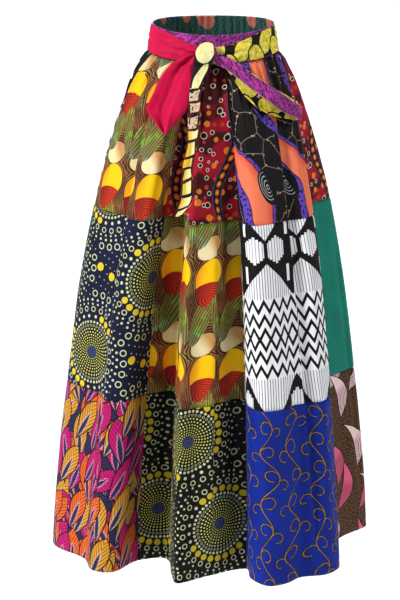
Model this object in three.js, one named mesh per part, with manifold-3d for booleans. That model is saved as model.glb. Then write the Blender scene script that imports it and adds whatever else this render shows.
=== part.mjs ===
// A high-waisted patchwork maxi skirt with a sash tied in a half bow, in the round, as it hangs on its wearer.
// Millimetres, +Z up, front towards -Y. The origin is the centre of the waist, half way up the waistband.
// Every place on the garment is named by its drop, the height lost below the origin, and its angle round the
// waist, 0 at the front and growing towards +X.
import * as THREE from "three";
import { mergeVertices } from "three/addons/utils/BufferGeometryUtils.js";
import Module from "manifold-3d";

// ---------------------------------------------------------------- driving dimensions
const skirtLength = 1014; // drop of the hem
const bandDrop = 26; // the waistband reaches this far above and below the origin
const waistHalf = { width: 124, depth: 98 }; // of the waist seam
const rimHalf = { width: 114.5, depth: 91 }; // of the waistband's top edge
const bandFootHalf = { width: 123, depth: 97 }; // of the waistband's lower edge
const hemHalf = { width: 328, depth: 290 }; // the oval that the folds' crests reach at the hem
const waistTilt = 10; // the waist is this much lower at the front, and higher at the back

const clothWall = 1.6; // a skirt panel
const bandWall = 2.4; // two layers and the interfacing
const sashWall = 2; // the sash is sewn double
const seamGap = 0.3; // between pieces that are sewn together
const gatherPitch = 7.2; // degrees of waist to one small gather
const stepsPerFold = 3; // facets between two rows of the folds table

// ---------------------------------------------------------------- tables
// Levels of the skirt. flare is how far the cloth has spread from the waist seam (0) to the hem (1), gather is
// the depth of the small gathers there, and a tier is the ring of patches that starts at that level.
const levels = [
  // drop, flare, gather, tier
  [26, 0, 1.4, "top"],
  [45, 0.075, 2.8],
  [75, 0.165, 2.6],
  [115, 0.25, 1.6],
  [180, 0.365, 0.5],
  [245, 0.458, 0],
  [316, 0.545, 0, "mid"],
  [400, 0.63, 0],
  [490, 0.71, 0],
  [580, 0.775, 0],
  [668, 0.83, 0, "low"],
  [755, 0.885, 0],
  [840, 0.93, 0],
  [925, 0.972, 0],
  [skirtLength, 1, 0],
].map(([drop, flare, gather, tier]) => ({ drop, flare, gather, tier }));

// The folds, once round the skirt. Each row is a line that runs down the cloth from the waist seam to the hem,
// where it lies at that reach from the skirt's axis. A column of patches starts at a row with a column name.
const folds = [
  // angle at the waist, angle at the hem, reach at the hem, column
  [-72, -84, 327, "a"],
  [-58, -76, 321],
  [-40, -62, 287],
  [-27, -51, 303],
  [-18, -44.5, 280],
  [-11, -46, 206, "b"],
  [-8.5, -38, 164],
  [-6.5, -32, 167],
  [-5, -20.5, 228],
  [-2.5, -15.5, 263],
  [2, -3, 219],
  [10.5, 19.5, 196, "c"],
  [13, 17.8, 242],
  [17, 21.5, 286],
  [33, 29, 290],
  [50, 37, 282],
  [63, 47, 306],
  [74, 55.5, 303],
  [80, 60, 275, "d"],
  [86, 70, 238],
  [92, 86, 268],
  [100, 98, 325],
  [110, 107, 264, "e"],
  [115, 113, 222],
  [124, 121, 298],
  [133, 131, 270],
  [142, 142, 290],
  [151, 151, 242, "f"],
  [155, 157, 190],
  [160, 163, 238],
  [167, 168, 284],
  [178, 179, 256],
  [188, 190, 287],
  [198, 199, 238, "g"],
  [203, 205, 196],
  [211, 214, 292],
  [221, 224, 262],
  [230, 234, 302],
  [239, 242, 262, "h"],
  [246, 249, 220],
  [258, 257, 306],
  [272, 267, 310],
].map(([waistAngle, hemAngle, reach, column]) => ({ waistAngle, hemAngle, reach, column }));

// The print of each patch, from the waist down.
const prints = {
  a: ["petal", "burst_navy", "leaf"],
  b: ["crimson", "petal", "burst_black"],
  c: ["web", "zigzag", "scroll"],
  d: ["crimson", "teal", "feather"],
  e: ["burst_navy", "leaf", "petal"],
  f: ["teal", "crimson", "zigzag"],
  g: ["scroll", "feather", "burst_navy"],
  h: ["zigzag", "teal", "crimson"],
};
const colours = {
  petal: 0xc9962a,
  burst_navy: 0x2b3350,
  leaf: 0xb3305f,
  crimson: 0x8e1230,
  burst_black: 0x33331d,
  web: 0x3a2430,
  zigzag: 0xd4d4d6,
  scroll: 0x0c2f9c,
  teal: 0x0d7263,
  feather: 0x5a3320,
  forest: 0x12352f,
  orchid: 0x9c2272,
  shell: 0xd9c63f,
  pink: 0xe5004c,
};

// Ribbons of the bow. Each row is a cut across the ribbon: the place of its two edges as x and drop, and how far
// it stands off the garment's oval.
const shortTail = [
  // x, drop | x, drop | stand
  [-44, 6, -22, 6, 10],
  [-66, 16, -25, 12, 9],
  [-92, 38, -33, 30, 9],
  [-109, 70, -40, 64, 9],
  [-124, 105, -48, 102, 8],
  [-116, 133, -62, 131, 8],
  [-97, 158, -82, 157, 8],
];
const longTail = [
  [-20, -18, -2, -18, 14],
  [-31, -6, 1, -6, 27],
  [-36, 10, 0, 10, 31],
  [-37, 28, -7, 27, 26],
  [-41, 48, -18, 48, 16],
  [-46, 85, -24, 84, 12],
  [-48, 113, -26, 113, 11],
  [-50, 168, -32, 168, 10],
  [-58, 213, -39, 212, 10],
  [-62, 258, -39, 257, 10],
  [-67, 284, -46, 283, 10],
  [-69, 304, -60, 303, 10],
];
const bowLoop = [
  [4, 0, 3, 24, 11],
  [28, 9, 24, 33, 10],
  [57, 32, 42, 56, 10],
  [81, 48, 60, 81, 10],
  [107, 67, 86, 104, 10],
  [134, 86, 117, 121, 9],
  [155, 103, 147, 131, 9],
  [166, 112, 163, 135, 13],
  [167, 113, 164, 134, 22],
  [159, 104, 153, 124, 28],
  [142, 89, 131, 110, 31],
  [118, 70, 106, 90, 33],
  [90, 51, 79, 69, 32],
  [61, 32, 50, 48, 29],
  [34, 12, 26, 31, 24],
  [8, 4, 4, 22, 19],
];
const sashEdges = {
  // angle from the side seam to the knot, drop of the upper edge
  left: [
    [-90, -25],
    [-66, -25],
    [-45, -22],
    [-28, -13],
    [-17, -7],
    [-5.5, -4],
  ],
  right: [
    [90, -25],
    [66, -25],
    [45, -22],
    [28, -14],
    [14, -8],
    [-3.5, -4],
  ],
};
const sashFoot = 24; // drop of the sash's lower edge
const knot = { x: -11, drop: 5, stand: 13, half: [19, 14, 23], creases: 5, creaseDepth: 1.4 };

// ---------------------------------------------------------------- small tools
const radians = THREE.MathUtils.degToRad;
const mix = THREE.MathUtils.lerp;

// Reads column key of a table at a place along column along, on a smooth line through its rows.
function read(table, along, key, at) {
  const last = table.length - 2;
  let i = 0;
  while (i < last && table[i + 1][along] < at) i++;
  const slope = (k) => {
    const low = table[Math.max(k - 1, 0)];
    const high = table[Math.min(k + 1, table.length - 1)];
    return (high[key] - low[key]) / (high[along] - low[along]);
  };
  const [from, to] = [table[i], table[i + 1]];
  const span = to[along] - from[along];
  const t = THREE.MathUtils.clamp((at - from[along]) / span, 0, 1);
  const rise = to[key] - from[key];
  const [first, second] = [slope(i) * span, slope(i + 1) * span];
  return from[key] + t * (first + t * (3 * rise - 2 * first - second + t * (first + second - 2 * rise)));
}

// Half width and half depth of the garment's plain oval at a drop.
function ovalAt(drop) {
  if (drop <= bandDrop) {
    const t = (drop + bandDrop) / (2 * bandDrop);
    return {
      width: mix(rimHalf.width, bandFootHalf.width, t),
      depth: mix(rimHalf.depth, bandFootHalf.depth, t),
    };
  }
  const flare = read(levels, "drop", "flare", drop);
  return {
    width: mix(waistHalf.width, hemHalf.width, flare),
    depth: mix(waistHalf.depth, hemHalf.depth, flare),
  };
}

// Height of a point of the cloth: the waist's tilt dies away as the skirt flares.
function heightAt(drop, y) {
  const flare = drop <= bandDrop ? 0 : read(levels, "drop", "flare", drop);
  return -drop + (waistTilt * (1 - flare) * y) / waistHalf.depth;
}

function ovalPoint(angle, drop, stand) {
  const oval = ovalAt(drop);
  const x = (oval.width + stand) * Math.sin(radians(angle));
  const y = -(oval.depth + stand) * Math.cos(radians(angle));
  return new THREE.Vector3(x, y, heightAt(drop, y));
}

// A point of the bow, at that x in front of the garment's oval.
function standingPoint(x, drop, stand) {
  const sine = THREE.MathUtils.clamp(x / (ovalAt(drop).width + stand), -1, 1);
  return ovalPoint(THREE.MathUtils.radToDeg(Math.asin(sine)), drop, stand);
}

// Outward normals of a grid of points whose rows run down the cloth and whose columns run towards +X at the front.
function normalsOf(grid, round) {
  const [rows, columns] = [grid.length, grid[0].length];
  return grid.map((row, r) =>
    row.map((_, c) => {
      const before = round ? (c - 1 + columns) % columns : Math.max(c - 1, 0);
      const after = round ? (c + 1) % columns : Math.min(c + 1, columns - 1);
      const across = row[after].clone().sub(row[before]);
      const down = grid[Math.min(r + 1, rows - 1)][c].clone().sub(grid[Math.max(r - 1, 0)][c]);
      return down.cross(across).normalize();
    }),
  );
}

// Draws the edges of a grid in (or, below zero, out) by that much.
function trimmed(grid, inset) {
  const moved = grid.map((row) => row.map((point) => point.clone()));
  const draw = (r, c, towardsR, towardsC) => {
    const way = grid[towardsR][towardsC].clone().sub(grid[r][c]).normalize();
    moved[r][c].addScaledVector(way, inset);
  };
  const [lastRow, lastColumn] = [grid.length - 1, grid[0].length - 1];
  for (let c = 0; c <= lastColumn; c++) {
    draw(0, c, 1, c);
    draw(lastRow, c, lastRow - 1, c);
  }
  for (let r = 0; r <= lastRow; r++) {
    draw(r, 0, r, 1);
    draw(r, lastColumn, r, lastColumn - 1);
  }
  return moved;
}

// The closed wall of that thickness about a grid of points.
function wallGeometry(grid, normals, wall) {
  const [rows, columns] = [grid.length, grid[0].length];
  const side = (way) =>
    grid.flatMap((row, r) => row.map((p, c) => p.clone().addScaledVector(normals[r][c], (way * wall) / 2)));
  const points = [...side(1), ...side(-1)];
  const outer = (r, c) => r * columns + c;
  const inner = (r, c) => rows * columns + outer(r, c);
  const index = [];
  const quad = (a, b, c, d) => index.push(a, b, c, a, c, d);
  for (let r = 0; r < rows - 1; r++) {
    for (let c = 0; c < columns - 1; c++) {
      quad(outer(r, c), outer(r + 1, c), outer(r + 1, c + 1), outer(r, c + 1));
      quad(inner(r, c), inner(r, c + 1), inner(r + 1, c + 1), inner(r + 1, c));
    }
  }
  for (let c = 0; c < columns - 1; c++) {
    quad(outer(0, c), outer(0, c + 1), inner(0, c + 1), inner(0, c));
    quad(outer(rows - 1, c + 1), outer(rows - 1, c), inner(rows - 1, c), inner(rows - 1, c + 1));
  }
  for (let r = 0; r < rows - 1; r++) {
    quad(outer(r + 1, 0), outer(r, 0), inner(r, 0), inner(r + 1, 0));
    quad(outer(r, columns - 1), outer(r + 1, columns - 1), inner(r + 1, columns - 1), inner(r, columns - 1));
  }
  return new THREE.BufferGeometry().setFromPoints(points).setIndex(index);
}

function piece(name, geometry, print) {
  const material = new THREE.MeshStandardMaterial({ color: colours[print], roughness: 0.8, metalness: 0 });
  const mesh = new THREE.Mesh(geometry, material);
  mesh.name = name;
  return mesh;
}

// ---------------------------------------------------------------- skirt panels
// The rows of the folds table as control points of one level's outline, seen from above.
function outlineAt(level) {
  const points = folds.map(({ waistAngle, hemAngle, reach }) => {
    const [waist, hem] = [radians(waistAngle), radians(hemAngle)];
    const top = new THREE.Vector2(waistHalf.width * Math.sin(waist), -waistHalf.depth * Math.cos(waist));
    const foot = new THREE.Vector2(reach * Math.sin(hem), -reach * Math.cos(hem));
    const place = top.lerp(foot, level.flare);
    return new THREE.Vector3(place.x, place.y, 0);
  });
  return new THREE.CatmullRomCurve3(points, true, "centripetal");
}

const waistAngleOf = (row) => folds[row % folds.length].waistAngle + 360 * Math.floor(row / folds.length);

// Places along the folds table, whole numbers at its rows, with enough between them for the folds or the gathers.
function placesRound(withGathers) {
  const places = [];
  folds.forEach((_, row) => {
    const span = waistAngleOf(row + 1) - waistAngleOf(row);
    const steps = withGathers ? Math.max(stepsPerFold, Math.round((4 * span) / gatherPitch)) : stepsPerFold;
    for (let k = 0; k < steps; k++) places.push(row + k / steps);
  });
  return places;
}

const gatherWave = (waistAngle) => Math.sin((2 * Math.PI * waistAngle) / gatherPitch);

// The points of some levels, all the way round.
function skirtGrid(some, places) {
  return some.map((level) => {
    const outline = outlineAt(level);
    const flat = places.map((place) => outline.getPoint(place / folds.length));
    return flat.map((point, c) => {
      const before = flat[(c - 1 + flat.length) % flat.length];
      const after = flat[(c + 1) % flat.length];
      const out = new THREE.Vector3(after.y - before.y, before.x - after.x, 0).normalize();
      const row = Math.floor(places[c]);
      const waistAngle = mix(waistAngleOf(row), waistAngleOf(row + 1), places[c] - row);
      point.addScaledVector(out, level.gather * gatherWave(waistAngle));
      return point.setZ(heightAt(level.drop, point.y));
    });
  });
}

function tierPanels(group, tier, order) {
  const start = levels.findIndex((level) => level.tier === tier);
  const next = levels.findIndex((level, i) => i > start && level.tier);
  const some = levels.slice(start, next < 0 ? levels.length : next + 1);
  const places = placesRound(tier === "top");
  const grid = skirtGrid(some, places);
  const normals = normalsOf(grid, true);
  const seams = folds.flatMap(({ column }, row) => (column ? [{ column, row }] : []));
  seams.forEach(({ column, row }, k) => {
    const endRow = k + 1 < seams.length ? seams[k + 1].row : folds.length;
    const first = places.indexOf(row);
    const last = endRow === folds.length ? places.length : places.indexOf(endRow);
    const pick = (table) =>
      table.map((line) => Array.from({ length: last - first + 1 }, (_, i) => line[(first + i) % line.length]));
    const panel = trimmed(pick(grid), seamGap / 2);
    const name = `panel_${column}_${tier}`;
    group.add(piece(name, wallGeometry(panel, pick(normals), clothWall), prints[column][order]));
  });
}

// ---------------------------------------------------------------- waistband and sash
function bandPiece(name, fromAngle, toAngle, steps, ripple, print) {
  const drops = [-bandDrop, 0, bandDrop - seamGap / 2];
  const grid = drops.map((drop) =>
    Array.from({ length: steps + 1 }, (_, i) => {
      const angle = mix(fromAngle, toAngle, i / steps);
      const edge = Math.min(1, Math.min(i, steps - i) / 4);
      return ovalPoint(angle, drop, ripple * edge * gatherWave(angle));
    }),
  );
  return piece(name, wallGeometry(trimmed(grid, seamGap / 2), normalsOf(grid, false), bandWall), print);
}

// One side of the sash, from its side seam across the front to the knot, drawn in towards the knot.
function sashPiece(name, edges, side, print) {
  const stand = bandWall / 2 + seamGap + sashWall / 2;
  const table = edges.map(([angle, top]) => ({ turn: Math.abs(angle - edges[0][0]), angle, top }));
  const [steps, across] = [18, 4];
  const end = table[table.length - 1].turn;
  const turns = Array.from({ length: steps + 1 }, (_, i) => (end * i) / steps);
  const ordered = side > 0 ? turns.reverse() : turns;
  const grid = Array.from({ length: across + 1 }, (_, r) =>
    ordered.map((turn) => {
      const angle = edges[0][0] - side * turn;
      const crease = 0.7 * Math.sin((Math.PI * r) / across) * (1 + Math.sin(turn / 9));
      return ovalPoint(angle, mix(read(table, "turn", "top", turn), sashFoot, r / across), stand + crease);
    }),
  );
  return piece(name, wallGeometry(trimmed(grid, seamGap / 2), normalsOf(grid, false), sashWall), print);
}

// ---------------------------------------------------------------- the bow
// The points of a ribbon: smooth lines through its rows, folded into that many soft pleats along its length.
function ribbonGrid(rows, steps, across, pleats, pleatDepth) {
  const table = rows.map(([xa, dropA, xb, dropB, stand], row) => ({ row, xa, dropA, xb, dropB, stand }));
  return Array.from({ length: steps + 1 }, (_, i) => {
    const at = ((rows.length - 1) * i) / steps;
    const cut = Object.fromEntries(
      ["xa", "dropA", "xb", "dropB", "stand"].map((key) => [key, read(table, "row", key, at)]),
    );
    return Array.from({ length: across + 1 }, (_, k) => {
      const t = k / across;
      const fold = pleatDepth * Math.min(1, at / 2) * Math.sin(Math.PI * t) * Math.cos(2 * Math.PI * pleats * t);
      return standingPoint(mix(cut.xa, cut.xb, t), mix(cut.dropA, cut.dropB, t), cut.stand + fold);
    });
  });
}

const ribbons = {
  tail_short: { grid: ribbonGrid(shortTail, 18, 10, 2, 4.5), print: "pink" },
  tail_long: { grid: ribbonGrid(longTail, 33, 4, 0.5, 2), print: "shell" },
  bow_loop: { grid: ribbonGrid(bowLoop, 45, 4, 0.5, 1.5), print: "orchid" },
};

function ribbonGeometry(grid, grow) {
  return wallGeometry(trimmed(grid, -grow), normalsOf(grid, false), sashWall + 2 * grow);
}

const wasm = await Module();
wasm.setup();

function solidOf(geometry) {
  const bare = new THREE.BufferGeometry().setAttribute("position", geometry.getAttribute("position"));
  bare.setIndex(geometry.index);
  const merged = mergeVertices(bare, 1e-3);
  return new wasm.Manifold(
    new wasm.Mesh({
      numProp: 3,
      vertProperties: merged.attributes.position.array,
      triVerts: new Uint32Array(merged.index.array),
    }),
  );
}

function geometryOf(solid) {
  const mesh = solid.getMesh();
  const positions = new Float32Array(mesh.numVert * 3);
  for (let v = 0; v < mesh.numVert; v++) {
    positions.set(mesh.vertProperties.subarray(v * mesh.numProp, v * mesh.numProp + 3), 3 * v);
  }
  const geometry = new THREE.BufferGeometry();
  geometry.setAttribute("position", new THREE.BufferAttribute(positions, 3));
  return geometry.setIndex(new THREE.BufferAttribute(mesh.triVerts, 1));
}

// The knot is a creased lump, hollowed where the ribbons run into it, with its back laid against the sash.
function knotPiece() {
  const ball = new THREE.IcosahedronGeometry(1, 6);
  const places = ball.getAttribute("position");
  const back = bandWall / 2 + 2 * seamGap + sashWall + 0.8;
  const centre = standingPoint(knot.x, knot.drop, back + knot.stand);
  for (let i = 0; i < places.count; i++) {
    const way = new THREE.Vector3().fromBufferAttribute(places, i);
    const crease = 1 - (knot.creaseDepth * Math.cos(knot.creases * Math.atan2(way.x, way.z)) ** 2) / knot.half[0];
    const point = new THREE.Vector3(...knot.half).multiply(way).multiplyScalar(crease).add(centre);
    const drop = -point.z + (waistTilt * point.y) / waistHalf.depth;
    point.y = Math.min(point.y, standingPoint(point.x, drop, back).y);
    places.setXYZ(i, point.x, point.y, point.z);
  }
  let solid = solidOf(ball);
  for (const { grid } of Object.values(ribbons)) {
    solid = solid.subtract(solidOf(ribbonGeometry(grid, seamGap)));
  }
  const parts = solid.decompose().sort((a, b) => b.volume() - a.volume());
  return piece("bow_knot", geometryOf(parts[0]), "orchid");
}

// ---------------------------------------------------------------- the garment
const skirt = new THREE.Group();
["top", "mid", "low"].forEach((tier, order) => tierPanels(skirt, tier, order));

const waist = new THREE.Group();
waist.add(
  bandPiece("waistband_front", -90, 90, 24, 0, "orchid"),
  bandPiece("waistband_back", 90, 270, 100, 1.1, "forest"),
  sashPiece("sash_left", sashEdges.left, -1, "pink"),
  sashPiece("sash_right", sashEdges.right, 1, "shell"),
);

const bow = new THREE.Group();
bow.add(knotPiece());
for (const [name, { grid, print }] of Object.entries(ribbons)) {
  bow.add(piece(name, ribbonGeometry(grid, 0), print));
}

const garment = new THREE.Group();
garment.add(skirt, waist, bow);
export default garment;
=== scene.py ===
"""The looks of a high-waisted patchwork skirt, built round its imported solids. Blender 4.5.

Lengths are in millimetres up to the moment a mesh is made, and then in metres. Places on the cloth are
named as in the solids: drop is the height lost below the middle of the waistband, and angles run round the
waist from the front towards +X. Every print is drawn by arithmetic on the cloth's own coordinates, u across
and v down, in mm.
"""

import math

import bpy
import numpy as np
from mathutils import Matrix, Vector, noise


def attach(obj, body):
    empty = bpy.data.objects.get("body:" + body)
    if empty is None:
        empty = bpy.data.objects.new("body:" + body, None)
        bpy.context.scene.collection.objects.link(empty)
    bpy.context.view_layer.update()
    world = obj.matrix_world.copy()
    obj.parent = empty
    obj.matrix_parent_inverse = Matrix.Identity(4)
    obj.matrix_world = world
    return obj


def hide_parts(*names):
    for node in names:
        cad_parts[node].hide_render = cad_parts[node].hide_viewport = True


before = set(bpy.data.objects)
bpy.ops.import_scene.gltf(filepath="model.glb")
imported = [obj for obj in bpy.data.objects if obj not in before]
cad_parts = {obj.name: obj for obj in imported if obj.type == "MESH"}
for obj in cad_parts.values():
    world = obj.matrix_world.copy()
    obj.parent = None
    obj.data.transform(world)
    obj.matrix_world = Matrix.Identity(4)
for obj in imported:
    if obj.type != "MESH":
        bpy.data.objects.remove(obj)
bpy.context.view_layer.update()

# ---------------------------------------------------------------- sizes, as in the solids
SKIRT_LENGTH = 1014
BAND_DROP = 26
WAIST_HALF = (124, 98)
RIM_HALF = (114.5, 91)
BAND_FOOT_HALF = (123, 97)
HEM_HALF = (328, 290)
WAIST_TILT = 10
SIDE_LIFT = 6  # the waistband rides this much higher at the hips
BAND_WALL = 2.4
SASH_WALL = 2.0
SEAM_GAP = 0.3
GATHER_PITCH = 7.2

# ---------------------------------------------------------------- sizes of the cloth itself
CLOTH = 0.9  # the cotton, a little over its true thickness
HEM_EXTRA = 0.7  # how much further in the turned hem reaches
HEM_FOLD = 14  # height of the turned hem
HEM_STITCHES = 12  # the hem's stitches lie this far above its edge
STITCH = (2.6, 3.7, 0.32)  # length, pitch and half thickness of a stitch
STITCH_PROUD = (0.1, 0.2)  # how far the stitches of the hem and of the waistband stand out of the cloth
SEAM_DITCH = (1.3, 5.0)  # depth and half width of the valley that a seam draws
ROW_STEP = 6.0  # between the rows of a patch's mesh, and below between its columns
COLUMN_STEP = 3.6
HEM_OPEN = 1000  # a crease that reaches this drop runs on through the hem
CREASE_END = 0.16  # share of a crease's length over which each end fades out
PUCKER_REACH = (16, 14)  # how far the pucker reaches from a seam between tiers, and between columns
WRINKLES = {
    # size of the lumps along x, y and z, seed, height
    "long": ((46, 46, 210), 1.3, 1.6),
    "small": ((17, 17, 40), 8.1, 0.45),
    "under_band": ((15, 15, 170), 6.4, 2.6),
    "tier_seam": ((9, 9, 9), 2.2, 0.55),
    "column_seam": ((11, 11, 11), 5.2, 0.5),
    "band": ((7, 7, 26), 6.0, 0.25),
    "ruched_band": ((7, 7, 26), 6.0, 0.7),
    "left_sash": ((18, 18, 7), 1.5, 1.5),
    "right_sash": ((18, 18, 7), 3.5, 1.5),
    "bow": ((11, 11, 30), 4.4, 0.8),
}

LEVELS = np.array(
    [
        # drop, flare, gather
        (26, 0, 1.4),
        (45, 0.075, 2.8),
        (75, 0.165, 2.6),
        (115, 0.25, 1.6),
        (180, 0.365, 0.5),
        (245, 0.458, 0),
        (316, 0.545, 0),
        (400, 0.63, 0),
        (490, 0.71, 0),
        (580, 0.775, 0),
        (668, 0.83, 0),
        (755, 0.885, 0),
        (840, 0.93, 0),
        (925, 0.972, 0),
        (SKIRT_LENGTH, 1, 0),
    ]
)
TIERS = {"top": (26, 316), "mid": (316, 668), "low": (668, SKIRT_LENGTH)}

FOLDS = [
    # angle at the waist, angle at the hem, reach at the hem, letter of the column that begins there
    (-72, -84, 327, "a"),
    (-58, -76, 321),
    (-40, -62, 287),
    (-27, -51, 303),
    (-18, -44.5, 280),
    (-11, -46, 206, "b"),
    (-8.5, -38, 164),
    (-6.5, -32, 167),
    (-5, -20.5, 228),
    (-2.5, -15.5, 263),
    (2, -3, 219),
    (10.5, 19.5, 196, "c"),
    (13, 17.8, 242),
    (17, 21.5, 286),
    (33, 29, 290),
    (50, 37, 282),
    (63, 47, 306),
    (74, 55.5, 303),
    (80, 60, 275, "d"),
    (86, 70, 238),
    (92, 86, 268),
    (100, 98, 325),
    (110, 107, 264, "e"),
    (115, 113, 222),
    (124, 121, 298),
    (133, 131, 270),
    (142, 142, 290),
    (151, 151, 242, "f"),
    (155, 157, 190),
    (160, 163, 238),
    (167, 168, 284),
    (178, 179, 256),
    (188, 190, 287),
    (198, 199, 238, "g"),
    (203, 205, 196),
    (211, 214, 292),
    (221, 224, 262),
    (230, 234, 302),
    (239, 242, 262, "h"),
    (246, 249, 220),
    (258, 257, 306),
    (272, 267, 310),
]

# The print of each column's patches from the top down, and how far it is shifted across and down.
PATCHES = {
    "a": [("petal", 54, -67), ("burst_navy", 46, -278), ("leaf", 0, 0)],
    "b": [("crimson", 0, 0), ("petal", -49, -96), ("burst_black", -26, -64)],
    "c": [("web", 0, 0), ("zigzag", 38, 0), ("scroll", 0, 0)],
    "d": [("crimson", 40, 30), ("teal", 0, 0), ("feather", 0, 0)],
    "e": [("burst_navy", 60, 90), ("leaf", 30, 20), ("petal", 20, 50)],
    "f": [("teal", 0, 0), ("crimson", 70, 0), ("zigzag", 30, 0)],
    "g": [("scroll", 35, 60), ("feather", 50, 40), ("burst_navy", 110, 30)],
    "h": [("zigzag", 20, 0), ("teal", 20, 0), ("crimson", 20, 60)],
}

# The main creases, beyond the folds of the solids. A place counts the rows of FOLDS, and a trough has a
# positive depth.
CREASES = [
    # place at its top, at its foot, top drop, foot drop, reach towards -X, towards +X, depth
    (0.55, 0.75, 40, 250, 10, 12, 2.6),
    (2.07, 2.33, 34, 330, 16, 5, 4.5),
    (2.75, 2.45, 38, 170, 8, 10, 3.0),
    (2.06, 3.00, 40, 995, 22, 5, 6.5),
    (1.15, 1.25, 420, 900, 26, 16, 2.2),
    (3.80, 4.10, 120, 420, 12, 16, -2.0),
    (8.95, 9.20, 90, 330, 16, 6, 4.0),
    (6.10, 6.40, 60, 985, 26, 24, 11.0),
    (10.10, 10.02, 230, 995, 40, 9, -13.0),
    (10.72, 10.75, 240, 985, 24, 26, 9.0),
    (12.70, 12.45, 40, 240, 7, 10, 3.2),
    (14.10, 14.25, 34, 190, 9, 9, 3.4),
    (15.10, 15.60, 70, 995, 4, 34, 11.0),
    (14.40, 14.60, 520, 960, 30, 22, -2.4),
    (16.60, 16.40, 45, 330, 10, 12, 3.0),
    (16.70, 16.80, 430, 980, 24, 18, 2.6),
    (19.30, 19.20, 60, 420, 8, 12, 3.0),
    (20.60, 20.70, 380, 980, 16, 8, 3.6),
    (22.40, 22.30, 45, 300, 9, 12, 3.6),
    (24.40, 24.50, 150, 900, 6, 24, 6.0),
    (26.30, 26.20, 50, 380, 12, 8, 3.4),
    (29.40, 29.30, 40, 260, 8, 8, 3.0),
    (30.50, 30.60, 200, 960, 26, 6, 6.5),
    (31.80, 31.70, 45, 420, 10, 14, 3.2),
    (34.30, 34.40, 60, 520, 8, 20, 4.5),
    (36.40, 36.50, 330, 1000, 22, 6, 5.0),
    (38.60, 38.50, 40, 300, 9, 12, 3.2),
    (40.40, 40.50, 180, 940, 6, 26, 6.0),
    (41.30, 41.20, 50, 360, 12, 10, 3.0),
]

# Pleats that hide cloth, so that the print jumps across them, less and less down to where they have opened.
PLEATS = {
    # column: place at the waist and at the hem, cloth hidden at the waist, drop where it has opened, and
    # where beside that place the hidden cloth begins and ends
    "a": (2.05, 3.02, 34, 800, 0.5, 4.0),
    "c": (15.10, 15.60, 77, 742, -4.0, -0.5),
}

SHORT_TAIL = [
    # x, drop | x, drop | stand
    (-44, 6, -22, 6, 10),
    (-66, 16, -25, 12, 9),
    (-92, 38, -33, 30, 9),
    (-109, 70, -40, 64, 9),
    (-124, 105, -48, 102, 8),
    (-110, 126, -65, 123, 8),
    (-92, 147, -86, 146, 8),
]
LONG_TAIL = [
    (-20, -18, -2, -18, 14),
    (-31, -6, 1, -6, 27),
    (-36, 10, 0, 10, 31),
    (-37, 28, -7, 27, 26),
    (-41, 48, -18, 48, 16),
    (-46, 85, -24, 84, 12),
    (-48, 113, -26, 113, 11),
    (-50, 168, -32, 168, 10),
    (-58, 213, -39, 212, 10),
    (-62, 258, -39, 257, 10),
    (-67, 276, -46, 275, 10),
    (-70, 295, -62, 294, 10),
]
BOW_LOOP = [
    (4, 0, 3, 24, 11),
    (28, 9, 24, 33, 10),
    (57, 32, 42, 56, 10),
    (81, 48, 60, 81, 10),
    (107, 67, 86, 104, 10),
    (134, 86, 117, 121, 9),
    (155, 103, 147, 131, 9),
    (166, 112, 163, 135, 13),
    (167, 113, 164, 134, 22),
    (159, 104, 153, 124, 28),
    (142, 89, 131, 110, 31),
    (118, 70, 106, 90, 33),
    (90, 51, 79, 69, 32),
    (61, 32, 50, 48, 29),
    (34, 12, 26, 31, 24),
    (8, 4, 4, 22, 19),
]
TAIL_FOLD = [
    # share of the width from the bright flank, how far the cloth stands out there
    (-0.8, 21),
    (-0.5, 15),
    (-0.1, -5),
    (0.06, 8),
    (0.3, 5),
    (0.65, -7),
]
TAIL_FLANK = (0.78, 0.36)  # where that flank lies across the short tail, at the knot and at the tip
SASH_EDGES = {
    # angle from the side seam to the knot, drop of the upper edge
    -1: [(-90, -25), (-66, -25), (-45, -22), (-28, -13), (-17, -7), (-5.5, -4)],
    1: [(90, -25), (66, -25), (45, -22), (28, -14), (14, -8), (-3.5, -4)],
}
SASH_FOOT = 24  # drop of the lower edge
KNOT = {"x": -11, "drop": 6, "stand": 10, "half": (19, 12, 20), "creases": 5, "depth": 0.09}


# ---------------------------------------------------------------- reading the tables
def read(xs, ys, at):
    """The smooth line through the points xs, ys, as the solids read their tables."""
    xs, ys, at = np.asarray(xs, float), np.asarray(ys, float), np.asarray(at, float)
    last = len(xs) - 1
    i = np.clip(np.searchsorted(xs, at, side="right") - 1, 0, last - 1)
    ends = (np.maximum(np.arange(last + 1) - 1, 0), np.minimum(np.arange(last + 1) + 1, last))
    slopes = (ys[ends[1]] - ys[ends[0]]) / (xs[ends[1]] - xs[ends[0]])
    span = xs[i + 1] - xs[i]
    t = np.clip((at - xs[i]) / span, 0, 1)
    rise, first, second = ys[i + 1] - ys[i], slopes[i] * span, slopes[i + 1] * span
    return ys[i] + t * (first + t * (3 * rise - 2 * first - second + t * (first + second - 2 * rise)))


def flare_at(drop):
    return np.where(np.asarray(drop) <= BAND_DROP, 0.0, read(LEVELS[:, 0], LEVELS[:, 1], drop))


def oval_at(drop):
    drop = np.asarray(drop, float)
    t = np.clip((drop + BAND_DROP) / (2 * BAND_DROP), None, 1)
    flare = flare_at(drop)
    halves = []
    for axis in (0, 1):
        band = RIM_HALF[axis] + (BAND_FOOT_HALF[axis] - RIM_HALF[axis]) * t
        skirt = WAIST_HALF[axis] + (HEM_HALF[axis] - WAIST_HALF[axis]) * flare
        halves.append(np.where(drop <= BAND_DROP, band, skirt))
    return halves


def height_at(drop, y):
    waistward = 1 - flare_at(drop)
    lift = SIDE_LIFT * waistward**4 * np.clip(1 - (y / WAIST_HALF[1]) ** 2, 0, 1)
    return lift - np.asarray(drop, float) + WAIST_TILT * waistward * y / WAIST_HALF[1]


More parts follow.
